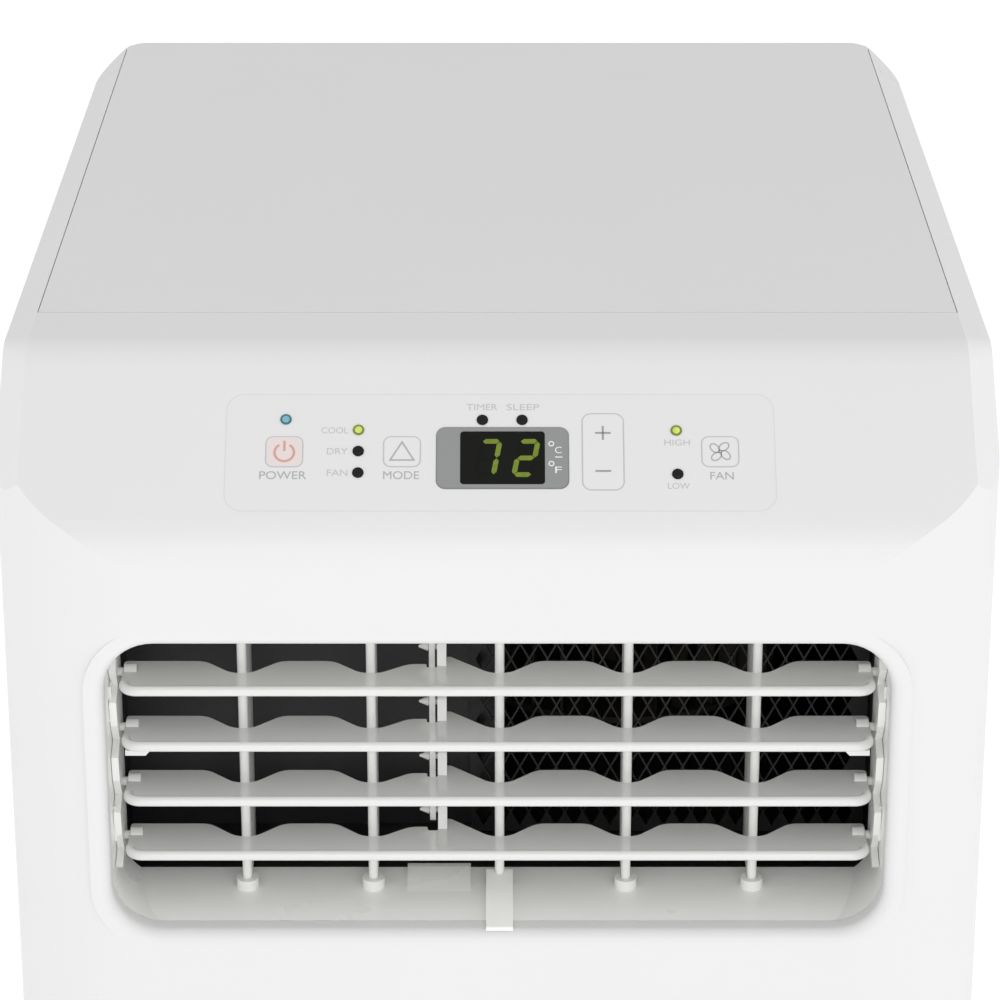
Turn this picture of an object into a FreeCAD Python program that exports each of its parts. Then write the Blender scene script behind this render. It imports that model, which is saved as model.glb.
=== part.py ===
import math
import os

import FreeCAD
import Part
from FreeCAD import Placement, Rotation, Vector

# Portable air conditioner: cabinet on four casters, louvred outlet in front, sloping control face.
# Frame: millimetres, +Z up, front towards -Y, origin at the centre of the footprint on the floor.

doc = FreeCAD.newDocument("portable_air_conditioner")
sheet = doc.addObject("Spreadsheet::Sheet", "dims")

SIZES = {
    # cabinet
    "width": 335, "depth": 425, "height": 700,
    "wall": 2.5, "seam": 0.4,
    "corner_front": 45, "corner_back": 48, "side_taper": 0.6, "top_back_round": 14,
    "shell_base": 74, "pan_base": 46, "pan_floor": 3,
    "back_split": 165,
    # top cover and bevelled top edges
    "cover_front": 87, "bevel_wide": 10.5, "bevel_drop": 7, "bevel_drop_slope": 18, "cover_skirt": 12,
    # control slope
    "slope_back": 55.4, "slope_drop": 48.6, "bend_round": 20,
    # front outlet
    "outlet_half": 130.5, "outlet_low": 507.8, "outlet_tall": 106.7, "outlet_corner": 17,
    "floor_rise": 3.7, "tongue_rise": 8.2, "collar_radius": 3.85, "collar_rise": 5.8,
    "lip_round": 4.5, "lip_deep": 9, "lip_wide": 6.6, "throat_deep": 41, "frame_wall": 2.8,
    # horizontal blades
    "blade_pitch": 20.6, "blade_first": 592.3, "blade_half": 126.7, "blade_front": 12,
    "blade_thick": 2.4, "blade_nose": 3.6, "blade_pivot": 29, "blade_trough": 13.3,
    "blade_crest": 22.8, "pivot_radius": 1.5, "crank_back": 7.5, "crank_up": 6, "link_x": -22.2,
    # upright vanes
    "vane_pitch": 43.5, "vane_shift": 0.7, "vane_pivot": 30, "vane_thick": 3.2,
    "vane_long": 33.4, "vane_link_back": 22, "vane_top": 611,
    # black duct and diamond mesh
    "mesh_deep": 75, "mesh_thick": 1.2, "mesh_left": -9.6, "mesh_border": 1.5,
    "diamond_wide": 6.4, "diamond_tall": 12, "mesh_bar": 0.65,
    # control face, measured down the slope from the bend
    "overlay_wide": 180.6, "overlay_top": 18.6, "overlay_low": 61.4, "overlay_mid": 0.9,
    "overlay_thick": 0.7, "key_wide": 11.7, "key_long": 10.6, "key_round": 2.2, "key_mid": 39.8,
    "key_gap": 0.3, "rocker_x": 34.7, "rocker_wide": 13.2, "rocker_long": 27.6, "display_mid": 1.65,
    "bezel_wide": 43.1, "bezel_long": 22.1, "bezel_mid": 42.1, "window_wide": 27.9,
    "window_long": 19.5, "led_radius": 1.75, "board_deep": 12,
    # room-air blower
    "blower_x": 46, "blower_y": -5, "blower_radius": 62,
    # hot-air blower
    "exhaust_x": 15, "exhaust_z": 185, "exhaust_radius": 82,
    "collar_z": 362, "hose_radius": 71.5,
    # partition between the chambers
    "tray_base": 440,
    # rear and sides
    "field_half": 121, "field_deep": 4, "handle_y": 35, "handle_z": 541,
    # casters
    "caster_x": 122, "caster_y": 158, "wheel_radius": 19, "wheel_wide": 15, "trail": 18,
    "axle_radius": 3, "kingpin_radius": 5, "pin_clearance": 0.05,
}

for number, (alias, amount) in enumerate(SIZES.items(), start=1):
    sheet.set(f"A{number}", alias)
    sheet.set(f"B{number}", str(amount))
    sheet.setAlias(f"B{number}", alias)
doc.recompute()


class Sizes:
    """The sheet's values, read as plain numbers."""

    def __getattr__(self, alias):
        return float(getattr(sheet, alias))


s = Sizes()
FRONT = -s.depth / 2
BACK = s.depth / 2
SLOPE = math.atan2(s.slope_drop, s.slope_back)
FACING_FRONT = Rotation(Vector(1, 0, 0), 90)
FACING_BACK = Rotation(Vector(0, 0, 1), 180) * FACING_FRONT
SIDEWAYS = Rotation(Vector(0, 0, 1), 90) * FACING_FRONT
SLOPE_TURN = Rotation(Vector(1, 0, 0), math.degrees(SLOPE))
SLOPE_FRAME = Placement(Vector(0, FRONT + s.slope_back, s.height), SLOPE_TURN)
sub_parts = []


# ---------------------------------------------------------------- helpers

def keep(label, made):
    """Name an object as one of the pieces to hand in."""
    made.Label = label
    sub_parts.append(made)
    return made


def place(made, at):
    for axis, expression in zip("xyz", at):
        made.setExpression(f"Placement.Base.{axis}", str(expression))


def box(size, corner):
    made = doc.addObject("Part::Box", "block")
    for side, expression in zip(("Length", "Width", "Height"), size):
        made.setExpression(side, str(expression))
    place(made, corner)
    return made


def cylinder(radius, length, base, axis="z"):
    made = doc.addObject("Part::Cylinder", "round")
    turn = {"x": Rotation(Vector(0, 1, 0), 90), "y": Rotation(Vector(1, 0, 0), -90), "z": Rotation()}
    made.Placement = Placement(Vector(), turn[axis])
    made.setExpression("Radius", str(radius))
    made.setExpression("Height", str(length))
    place(made, base)
    return made


def fuse(*pieces):
    if len(pieces) == 1:
        return pieces[0]
    made = doc.addObject("Part::MultiFuse", "joined")
    made.Shapes = list(pieces)
    made.Refine = True
    return made


def group(*pieces):
    """Separate solids that share one node."""
    made = doc.addObject("Part::Compound", "set")
    made.Links = list(pieces)
    return made


def cut(base, *tools):
    made = doc.addObject("Part::Cut", "trimmed")
    made.Base = base
    made.Tool = fuse(*tools)
    made.Refine = True
    return made


def common(base, tool):
    made = doc.addObject("Part::Common", "shared")
    made.Base = base
    made.Tool = tool
    return made


def solid(shape):
    """A piece whose shape is worked out in code from the sheet."""
    made = doc.addObject("Part::Feature", "formed")
    made.Shape = shape
    return made


def rounded(made, radius, wanted):
    """Fillet the edges for which wanted(edge) is true."""
    doc.recompute()
    fillet = doc.addObject("Part::Fillet", "rounded")
    fillet.Base = made
    chosen = [i for i, edge in enumerate(made.Shape.Edges, start=1) if wanted(edge)]
    fillet.Edges = [(i, radius, radius) for i in chosen]
    return fillet


def curves(corners):
    """Lines and arcs of a closed outline: each corner is (x, y) or (x, y, radius)."""
    points = [Vector(c[0], c[1], 0) for c in corners]
    radii = [c[2] if len(c) > 2 else 0 for c in corners]
    count = len(points)
    arcs = []
    for i in range(count):
        here = points[i]
        into = (here - points[i - 1]).normalize()
        away = (points[(i + 1) % count] - here).normalize()
        turn = math.atan2(into.cross(away).z, into.dot(away))
        if radii[i] <= 0 or abs(turn) < 1e-6:
            arcs.append((here, here, None))
            continue
        reach = radii[i] * math.tan(abs(turn) / 2)
        start = here - into * reach
        end = here + away * reach
        side = Vector(-into.y, into.x, 0) * math.copysign(radii[i], turn)
        centre = start + side
        first = math.atan2(start.y - centre.y, start.x - centre.x)
        last = math.atan2(end.y - centre.y, end.x - centre.x)
        if turn < 0:
            first, last = last, first
        circle = Part.Circle(centre, Vector(0, 0, 1), radii[i])
        arcs.append((start, end, Part.ArcOfCircle(circle, first, last)))
    made = []
    for i in range(count):
        start, end, arc = arcs[i]
        if arc is not None:
            made.append(arc)
        following = arcs[(i + 1) % count][0]
        if (following - end).Length > 1e-6:
            made.append(Part.LineSegment(end, following))
    return made


def face(corners):
    edges = [curve.toShape() for curve in curves(corners)]
    return Part.Face(Part.Wire(Part.__sortEdges__(edges)))


def rectangle(x_mid, y_mid, wide, tall, radius=0):
    half_x = wide / 2
    half_y = tall / 2
    return [
        (x_mid - half_x, y_mid - half_y, radius), (x_mid + half_x, y_mid - half_y, radius),
        (x_mid + half_x, y_mid + half_y, radius), (x_mid - half_x, y_mid + half_y, radius),
    ]


def circle(x_mid, y_mid, radius):
    return (x_mid, y_mid, radius)


def draw(sketch, loops):
    for loop in loops:
        if isinstance(loop, tuple):
            sketch.addGeometry(Part.Circle(Vector(loop[0], loop[1], 0), Vector(0, 0, 1), loop[2]), False)
        else:
            sketch.addGeometry(curves(loop), False)


def feature(body, kind, loops, level, length):
    """A pad above, or a pocket below, a sketch at the given level of the body's XY plane."""
    plane = [f for f in body.Origin.OriginFeatures if f.Role == "XY_Plane"][0]
    sketch = body.newObject("Sketcher::SketchObject", "outline")
    sketch.AttachmentSupport = [(plane, "")]
    sketch.MapMode = "FlatFace"
    sketch.setExpression("AttachmentOffset.Base.z", str(level))
    draw(sketch, loops)
    made = body.newObject(f"PartDesign::{kind}", kind.lower())
    made.Profile = sketch
    made.setExpression("Length", str(length))
    sketch.Visibility = False
    body.Tip = made
    return made


def plate(loops, thickness, placement=Placement(), level=0):
    """A body padded from one sketch; the first loop is outside, the rest are holes."""
    body = doc.addObject("PartDesign::Body", "plate")
    feature(body, "Pad", loops, level, thickness)
    body.Placement = placement
    return body


def pad(body, loops, level, length):
    return feature(body, "Pad", loops, level, length)


def pocket(body, loops, level, length):
    return feature(body, "Pocket", loops, level, length)


def tube(points, radius, bend):
    """A round bar along straight runs joined by arcs of one radius."""
    ends = [Vector(*p) for p in points]
    edges = []
    start = ends[0]
    for before, here, after in zip(ends, ends[1:], ends[2:]):
        into = (here - before).normalize()
        away = (after - here).normalize()
        reach = bend * math.tan(into.getAngle(away) / 2)
        first = here - into * reach
        last = here + away * reach
        middle = here + (away - into).normalize() * (bend / math.cos(into.getAngle(away) / 2) - bend)
        edges.append(Part.LineSegment(start, first).toShape())
        edges.append(Part.Arc(first, middle, last).toShape())
        start = last
    edges.append(Part.LineSegment(start, ends[-1]).toShape())
    path = Part.Wire(edges)
    ring = Part.Wire(Part.Circle(ends[0], ends[1] - ends[0], radius).toShape())
    return path.makePipeShell([ring], True, True)


def flat_at(z):
    """Sketches lie level at height z and grow upwards."""
    return Placement(Vector(0, 0, z), Rotation())


def front_at(y):
    """Sketch x, y become X, Z; the pad grows from y towards the front."""
    return Placement(Vector(0, y, 0), FACING_FRONT)


def side_at(x):
    """Sketch x, y become Y, Z; the pad grows from x to the right."""
    return Placement(Vector(x, 0, 0), SIDEWAYS)


# ---------------------------------------------------------------- cabinet form

def profile(shift, slope_shift=None):
    """Side view of the cabinet moved inwards by shift: front, top, the slope's two ends and its rounding."""
    if slope_shift is None:
        slope_shift = shift
    front = FRONT + shift
    top = s.height - shift
    along = math.tan(SLOPE)
    lift = s.height - slope_shift / math.cos(SLOPE)
    bend_y = FRONT + s.slope_back + (top - lift) / along
    knee_z = lift - (s.slope_back - shift) * along
    radius = s.bend_round - shift
    return front, top, bend_y, knee_z, radius


def casing_form(shift, low):
    front, top, bend_y, knee_z, radius = profile(shift)
    back = BACK - shift
    top_round = s.top_back_round - shift
    side = face([
        (front, low), (back, low), (back, top, top_round),
        (bend_y, top, radius), (front, knee_z, radius),
    ])
    side.rotate(Vector(), Vector(1, 0, 0), 90)
    side.rotate(Vector(), Vector(0, 0, 1), 90)
    side.translate(Vector(-s.width, 0, 0))
    length = side.extrude(Vector(2 * s.width, 0, 0))
    outline = face(plan(shift))
    outline.translate(Vector(0, 0, low))
    column = outline.extrude(Vector(0, 0, s.height))
    form = length.common(column)
    for hand in (1, -1):
        form = form.cut(bevel_cutter(shift, hand))
    return form


def plan(shift):
    """Top view of the cabinet moved inwards by shift; the sides close in towards the back."""
    taper = math.tan(math.radians(s.side_taper))
    front_half = s.width / 2 + s.corner_front * taper - shift
    back_half = s.width / 2 - (s.depth - s.corner_front) * taper - shift
    front_round = s.corner_front - shift
    back_round = s.corner_back - shift
    return [
        (-front_half, FRONT + shift, front_round), (front_half, FRONT + shift, front_round),
        (back_half, BACK - shift, back_round), (-back_half, BACK - shift, back_round),
    ]


def bevel_cutter(shift, hand):
    """What lies outside the bevel strip of one side, for the cabinet moved inwards by shift.

    The strip falls away further on the slope than on the flat top.
    """
    lean = math.atan2(s.bevel_drop, s.bevel_wide)
    slope_lean = math.atan2(s.bevel_drop_slope, s.bevel_wide)
    wires = []
    # from just inside the strip's inner edge to well past its outer one
    for share in (-0.2, 1.5):
        across = s.width / 2 - s.bevel_wide + share * s.bevel_wide
        drop = share * s.bevel_drop + shift / math.cos(lean)
        slope_drop = share * s.bevel_drop_slope + shift / math.cos(slope_lean)
        front, top, bend_y, knee_z, radius = profile(drop, slope_drop)
        outer = 60
        edge = curves([
            (front, 300), (-s.depth, 300), (-s.depth, s.height + outer), (s.depth, s.height + outer),
            (s.depth, top), (bend_y, top, radius), (front, knee_z, radius),
        ])
        wire = Part.Wire(Part.__sortEdges__([curve.toShape() for curve in edge]))
        wire.rotate(Vector(), Vector(1, 0, 0), 90)
        wire.rotate(Vector(), Vector(0, 0, 1), 90)
        wire.translate(Vector(across, 0, 0))
        wires.append(wire)
    cutter = Part.makeLoft(wires, True, True)
    cutter.rotate(Vector(s.width / 2, FRONT + s.corner_front, 0), Vector(0, 0, 1), s.side_taper)
    if hand < 0:
        cutter = cutter.mirror(Vector(), Vector(1, 0, 0))
    return cutter


def cover_zone(grow):
    """The space of the top cover: between the bevels, behind the front seam, above the skirt."""
    taper = math.tan(math.radians(s.side_taper))
    front_half = s.width / 2 - s.bevel_wide - (s.cover_front - s.corner_front) * taper + grow
    back_half = s.width / 2 - s.bevel_wide - (s.depth - s.corner_front) * taper + grow
    front = FRONT + s.cover_front - grow
    outline = [(-front_half, front), (front_half, front), (back_half, BACK + 1), (-back_half, BACK + 1)]
    zone = plate([outline], f"dims.cover_skirt + 1 + {grow}")
    place(zone, (0, 0, f"dims.height - dims.cover_skirt - {grow}"))
    return zone


def outlet_loop(grow=0):
    middle = s.outlet_low + s.outlet_tall / 2
    return rectangle(0, middle, 2 * (s.outlet_half + grow), s.outlet_tall + 2 * grow, s.outlet_corner + grow)


# where the keys stand across the control face
KEYS = {"power_key": -70.1, "mode_key": -31.4, "fan_key": 73.2}
# across and down the control face
LEDS = [
    (-69.8, 27.9), (-45.8, 31.8), (-45.8, 39.6), (-45.8, 47.5),
    (-5, 28.1), (8.1, 28.1), (58.9, 32), (59.1, 48),
]
SCREWS = [(x, z) for x in (-112, 112) for z in (92, 300, 668)]


def on_slope(x, down, wide, long, radius):
    return rectangle(x, -down, wide, long, radius)


def key_loop(x, grow=0):
    return on_slope(x, s.key_mid, s.key_wide + 2 * grow, s.key_long + 2 * grow, s.key_round + grow)


def rocker_loop(grow=0):
    return on_slope(s.rocker_x, s.key_mid, s.rocker_wide + 2 * grow, s.rocker_long + 2 * grow, 2.8 + grow)


def bezel_loop(grow=0):
    return on_slope(s.display_mid, s.bezel_mid, s.bezel_wide + 2 * grow, s.bezel_long + 2 * grow, 2.8 + grow)


def overlay_loop(grow=0):
    middle = (s.overlay_top + s.overlay_low) / 2
    long = s.overlay_low - s.overlay_top
    return on_slope(s.overlay_mid, middle, s.overlay_wide + 2 * grow, long + 2 * grow, 5.85 + grow)


def face_loops(gap):
    """Outlines of what comes up through the control face, each wider all round by gap."""
    loops = [key_loop(x, gap) for x in KEYS.values()]
    loops += [rocker_loop(gap), bezel_loop(gap)]
    loops += [circle(x, -down, s.led_radius + gap / 2) for x, down in LEDS]
    return loops


def side_frame(hand):
    """On a side wall at the handle: sketch x runs along the wall, y is up, the normal points out."""
    taper = math.radians(s.side_taper)
    across = s.width / 2 - (s.handle_y - FRONT - s.corner_front) * math.tan(taper)
    turn = Rotation(Vector(0, 0, 1), hand * (90 + s.side_taper))
    return Placement(Vector(hand * across, s.handle_y, s.handle_z), turn * FACING_FRONT)


def shells():
    outer = solid(casing_form(0, s.shell_base))
    inner = solid(casing_form(s.wall, s.shell_base - 10))
    hollow = cut(outer, inner)
    keep("top_cover", common(hollow, cover_zone(-s.seam / 2)))
    keep("rear_panel", back_half_shell(hollow))
    keep("front_shell", front_half_shell(hollow))


def back_half_shell(hollow):
    """Back wall with a sunk field for grilles and fittings, and bosses for the screws."""
    field = BACK - s.field_deep
    split = s.back_split + s.seam / 2
    behind = box((2 * s.width, s.depth, 2 * s.height), (-s.width, split, 0))
    liner = box((2 * s.field_half + 5, s.field_deep + 1, 601), (-s.field_half - 2.5, field - s.wall, 84))
    sunk = box((2 * s.field_half, 20, 595), (-s.field_half, field, 87))
    bosses = [cylinder(4.5, field - split, (x, split, z), "y") for x, z in SCREWS]
    bores = [cylinder(1.8, 60, (x, split - 5, z), "y") for x, z in SCREWS]
    slots = [rectangle(x, 100 + 9 * row, 56, 4.2, 2) for row in range(19) for x in (-62, 0, 62)]
    grate = Part.makeCompound([face(slot) for slot in slots])
    grate.rotate(Vector(), Vector(1, 0, 0), 90)
    grate.translate(Vector(0, field - s.wall - 1, 0))
    start = BACK - 12
    holes = [
        solid(grate.extrude(Vector(0, s.wall + 2, 0))),
        cylinder(s.hose_radius + 4.5, 40, (0, BACK - 30, s.collar_z), "y"),
        box((228, 20, 172), (-114, start, 482)),
        cylinder(6.2, 20, (90, start, 450.5), "y"),
        cylinder(8.1, 20, (-105, start, 330), "y"),
    ]
    wall = fuse(common(hollow, behind), liner, *bosses)
    return cut(wall, sunk, cover_zone(s.seam / 2), *holes, *bores)


def front_half_shell(hollow):
    """Front and sides, with the outlet's rounded lip and the openings of the control face."""
    split = box((2 * s.width, s.depth, 2 * s.height), (-s.width, s.back_split - s.seam / 2, 0))
    front = cut(hollow, split, cover_zone(s.seam / 2))
    turned_in = plate([outlet_loop(s.lip_wide)], "dims.lip_deep", front_at(FRONT + s.lip_deep))
    opening = plate([outlet_loop()], 60, front_at(FRONT + 40))
    lipped = cut(fuse(front, turned_in), opening)

    def at_lip(edge):
        bound = edge.BoundBox
        flat = abs(bound.YMin - FRONT) < 0.01 and abs(bound.YMax - FRONT) < 0.01
        level = bound.ZMin > s.outlet_low - 1 and bound.ZMax < s.outlet_low + s.outlet_tall + 1
        return flat and level and max(abs(bound.XMin), abs(bound.XMax)) < s.outlet_half + 1

    soft = rounded(lipped, s.lip_round, at_lip)
    overlay_bed = plate([overlay_loop(0.05)], 10, SLOPE_FRAME, "-dims.overlay_thick")
    through = [plate([loop], 20, SLOPE_FRAME, -10) for loop in face_loops(s.key_gap)]
    grips = [plate([rectangle(0, 0, 110.6, 42.6, 10.3)], 20, side_frame(hand), -10) for hand in (1, -1)]
    filter_slot = box((40, 9, 191), (140, 142.5, 471.5))
    opened = cut(soft, overlay_bed, *through, *grips, filter_slot)

    # tabs that take the back's screws, lugs that carry the rocker
    tabs = [box((60, 3.6, 18), (104 if x > 0 else -164, 161, z - 9)) for x, z in SCREWS]
    taps = [cylinder(1.8, 20, (x, 150, z), "y") for x, z in SCREWS]
    lugs = []
    for side in (-1, 1):
        lug = rectangle(s.rocker_x + side * 9.6, -s.key_mid, 2, 6, 0.5)
        lugs.append(plate([lug], 5, SLOPE_FRAME, -7))
    bore_at = SLOPE_FRAME.multVec(Vector(s.rocker_x - 12, -s.key_mid, -4.5))
    rocker_bore = cylinder(1.05, 24, tuple(bore_at), "x")
    return cut(fuse(opened, *tabs, *lugs), rocker_bore, *taps)


# ---------------------------------------------------------------- louvred outlet

VANES = [s.vane_shift + column * s.vane_pitch for column in (-2, -1, 0, 1, 2)]
MIDDLE_VANE = VANES[2]
BESIDE_LINK = VANES[1]


def blade_level(row):
    return s.blade_first - row * s.blade_pitch


def outlet_frame():
    floor = s.outlet_low
    start = FRONT + s.lip_deep + 0.4
    end = FRONT + s.throat_deep
    sleeve = plate([outlet_loop(s.frame_wall), outlet_loop()], end - start, front_at(end))
    flange = plate([outlet_loop(9), outlet_loop(1)], 3, front_at(start + 3))

    # the floor rises towards the duct
    ramp_side = [(start, floor - 1), (end, floor - 1), (end, floor + s.floor_rise), (start, floor)]
    ramp = plate([ramp_side], 2 * s.outlet_half, side_at(-s.outlet_half))
    throat = plate([outlet_loop(1)], end - start, front_at(end))
    pivot_y = FRONT + s.vane_pivot
    collars = [cylinder("dims.collar_radius", "dims.collar_rise + 1", (x, pivot_y, floor - 1))
               for x in VANES if x != MIDDLE_VANE]

    # a tongue under the middle vane reaches out over the lip
    tongue_end = FRONT + 31
    tongue_side = [
        (FRONT + 1.5, floor + 0.3), (start, floor + 0.3), (start, floor - 1), (tongue_end, floor - 1),
        (tongue_end, floor + s.tongue_rise), (FRONT + 1.5, floor + 1.6, 0.6),
    ]
    tongue = plate([tongue_side], 9.2, side_at(MIDDLE_VANE - 4.6))

    # a wedge beside it, with a stop at its back edge
    wedge_start = FRONT + 26
    wedge_side = [
        (wedge_start, floor + 1), (end, floor + 1), (end, floor + 5.2),
        (end - 2.3, floor + 5.2), (wedge_start, floor + 1.9),
    ]
    wedge = plate([wedge_side], 21.9, side_at(-31.2))
    bores = [cylinder("dims.pivot_radius + dims.pin_clearance", 140, (x, pivot_y, floor - 10)) for x in VANES]
    mounts = [box((6, 14, 14), (side * 132.3 - 3, FRONT + 18, level - 7))
              for side in (-1, 1) for level in (540, 585)]
    body = fuse(sleeve, flange, common(ramp, throat), *collars, tongue, wedge)
    keep("outlet_frame", cut(body, *bores, *mounts))


def louver_brackets():
    """Notched strips at both ends of the blades, with snap feet through the frame's side walls."""
    low = 522.5
    top = 600
    pivot_y = FRONT + s.blade_pivot
    levels = [blade_level(row) for row in range(4)]
    notched = [(FRONT + 37, low), (FRONT + 37, top), (FRONT + 22, top)]
    for level in levels:
        notched += [(FRONT + 19, level + 5), (FRONT + 25, level - 3), (FRONT + 17, level - 6)]
    notched.append((FRONT + 20, low))
    holes = [circle(pivot_y, level, s.pivot_radius + s.pin_clearance) for level in levels]
    halves = []
    for side in (-1, 1):
        start = side * (s.outlet_half - 1.4) - 1.2
        strip = plate([notched] + holes, 2.4, side_at(start))
        feet = [box((4.6, 13, 13), (side * 131.9 - 2.3, FRONT + 18.5, level - 6.5)) for level in (540, 585)]
        bores = [cylinder("dims.pivot_radius + dims.pin_clearance", 4, (start - 0.5, pivot_y, level), "x")
                 for level in levels]
        halves.append(cut(fuse(strip, *feet), *bores))
    keep("louver_brackets", group(*halves))


def blade_outline():
    """Top view of a blade: its back edge falls back to a trough behind each vane's axle."""
    front = FRONT + s.blade_front
    trough = front + s.blade_trough
    crest = front + s.blade_crest
    half = s.blade_half - 0.5
    corners = [(-half, front + 1, 5), (half, front + 1, 5), (half, crest, 1.5)]
    flat = 3.3
    rise = 9.5
    for x in reversed(VANES):
        right_crest = crest - 2.4 if x == BESIDE_LINK else crest
        corners += [(x + flat + rise, right_crest, 7), (x + flat, trough, 7), (x - flat, trough, 7)]
        if x != MIDDLE_VANE:
            corners.append((x - flat - rise, crest, 7))
            continue
        # the ear stands right of the link, the notch lets the link pass
        notch_right = s.link_x + 1.8
        notch_left = s.link_x - 1.8
        corners += [
            (-16, crest + 3.4, 1), (notch_right, crest + 3.4, 0.5), (notch_right, trough + 4.4, 0.8),
            (notch_left, trough + 4.4, 0.8), (notch_left, crest - 2.4, 0.8),
        ]
    corners.append((-half, crest, 1.5))
    return corners


def louver_blade(row):
    level = blade_level(row)
    front = FRONT + s.blade_front
    pivot = FRONT + s.blade_pivot
    half = s.blade_half
    leaf = plate([blade_outline()], "dims.blade_thick", flat_at(level), "-dims.blade_thick / 2")
    bead = s.blade_nose / 2
    nose = solid(tube([
        (-half + bead, front + 7, level), (-half + bead, front + bead, level),
        (half - bead, front + bead, level), (half - bead, front + 7, level),
    ], bead, 4.2))
    pins = [cylinder("dims.pivot_radius", 6, (side * (s.outlet_half - 3.4) - 3, pivot, level), "x")
            for side in (-1, 1)]
    ends = [cylinder(2.9, 4.2, (side * (half - 3) - 2.1, pivot, level), "x") for side in (-1, 1)]

    # an ear and a pin with a pointed snap head, which the link is pushed over
    pin_y = pivot + s.crank_back
    pin_z = level + s.crank_up
    ear_x = s.link_x + 1.8
    ear_side = [
        (pivot + 1, level - 1, 0.5), (pin_y + 2.2, level - 1, 0.8),
        (pin_y + 2.2, pin_z + 3.2, 2), (pin_y - 2.4, pin_z + 3.2, 2),
    ]
    ear = plate([ear_side], 3.1, side_at(ear_x))
    pin = cylinder(1.2, 4.4, (ear_x - 4, pin_y, pin_z), "x")
    head = doc.addObject("Part::Cone", "head")
    head.Radius1 = 0.4
    head.Radius2 = 1.75
    head.Height = 3.2
    head.Placement = Placement(Vector(ear_x - 6.3, pin_y, pin_z), Rotation(Vector(0, 1, 0), 90))
    pieces = [leaf, nose, *ends, *pins, ear, pin, head]
    if row == 1:
        pieces += [blade_tab(side, level) for side in (-1, 1)]
    keep(f"louver_blade_{row + 1}", fuse(*pieces))


def blade_tab(side, level):
    """Finger tab under one end of a blade's nose."""
    outer = side * (s.blade_half - 1.6)
    inner = side * (s.blade_half - 8.4)
    high = level - 1.4
    low = level - 3.2
    outline = [(outer, high), (inner - side * 1.6, high), (inner, low), (outer, low)]
    return plate([outline], 1.6, front_at(FRONT + s.blade_front + 2.8))


def louver_link():
    y = FRONT + s.blade_pivot + s.crank_back
    top = blade_level(0) + s.crank_up
    low = blade_level(3) + s.crank_up
    bar = rectangle(y, (top + low) / 2, 5.2, top - low + 8, 2.4)
    holes = [circle(y, blade_level(row) + s.crank_up, 1.25) for row in range(4)]
    keep("louver_link", plate([bar] + holes, 2, side_at(s.link_x - 1)))


def vane(column):
    """Upright vane, its nose round and its tail narrower, on an axle through floor and ceiling."""
    x = VANES[column]
    half = s.vane_thick / 2
    pivot = FRONT + s.vane_pivot
    tail = pivot + s.vane_long
    rise = s.tongue_rise if x == MIDDLE_VANE else s.collar_rise
    foot = s.outlet_low + rise + 0.3
    section = [
        (x - half, pivot - half, half * 0.98), (x + half, pivot - half, half * 0.98), (x + half, pivot + 14),
        (x + 1.1, tail, 1), (x - 1.1, tail, 1), (x - half, pivot + 14),
    ]
    leaf = plate([section], s.vane_top - foot, flat_at(foot))
    axle_low = s.outlet_low - 1
    axle_top = s.outlet_low + s.outlet_tall + s.frame_wall - 0.5
    axle = cylinder("dims.pivot_radius", axle_top - axle_low, (x, pivot, axle_low))
    stub = cylinder(1.2, 4, (x, pivot + s.vane_link_back, s.vane_top - 1))
    keep(f"vane_{column + 1}", fuse(leaf, axle, stub))


def vane_link():
    y = FRONT + s.vane_pivot + s.vane_link_back
    bar = rectangle(MIDDLE_VANE, y, 4 * s.vane_pitch + 8, 5.6, 2.6)
    holes = [circle(x, y, 1.25) for x in VANES]
    keep("vane_link", plate([bar] + holes, 2, flat_at(s.vane_top + 0.5)))


def outlet_duct():
    low = s.outlet_low - s.frame_wall
    tall = s.outlet_tall + 2 * s.frame_wall
    start = FRONT + s.throat_deep + 0.4
    outer = box((267, -128 - start, tall), (-133.5, start, low))
    inner = box((261, -131 - start + 1, "dims.outlet_tall"), (-130.5, start - 1, "dims.outlet_low"))
    run = box((136.3, 39.6, tall), (-2.8, -131, low))
    hollow = box((130.5, 44, "dims.outlet_tall"), (0, -134, "dims.outlet_low"))
    keep("outlet_duct", cut(fuse(outer, run), inner, hollow))


def outlet_mesh():
    left = s.mesh_left
    right = s.outlet_half - 0.4
    low = s.outlet_low + 0.4
    top = s.outlet_low + s.outlet_tall - 0.4
    border = s.mesh_border
    half_x = s.diamond_wide / 2
    half_z = s.diamond_tall / 2
    shrink = 1 - s.mesh_bar / s.diamond_wide * math.hypot(1, s.diamond_wide / s.diamond_tall)
    loops = [rectangle((left + right) / 2, (low + top) / 2, right - left, top - low)]
    for row in range(int((top - low) / half_z)):
        z = low + border + half_z * (row + 1)
        for column in range(int((right - left) / half_x)):
            x = left + border + half_x * (column + 1)
            inside = x + half_x < right - border and z + half_z < top - border
            if (row + column) % 2 == 0 and inside:
                dx = half_x * shrink
                dz = half_z * shrink
                loops.append([(x - dx, z), (x, z - dz), (x + dx, z), (x, z + dz)])
    edges = [Part.Wire(Part.__sortEdges__([c.toShape() for c in curves(loop)])) for loop in loops]
    sheet_face = Part.makeFace(Part.makeCompound(edges), "Part::FaceMakerBullseye")
    sheet_face.rotate(Vector(), Vector(1, 0, 0), 90)
    sheet_face.translate(Vector(0, FRONT + s.mesh_deep + s.mesh_thick / 2, 0))
    keep("outlet_mesh", solid(sheet_face.extrude(Vector(0, -s.mesh_thick, 0))))


# ---------------------------------------------------------------- control face

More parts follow.
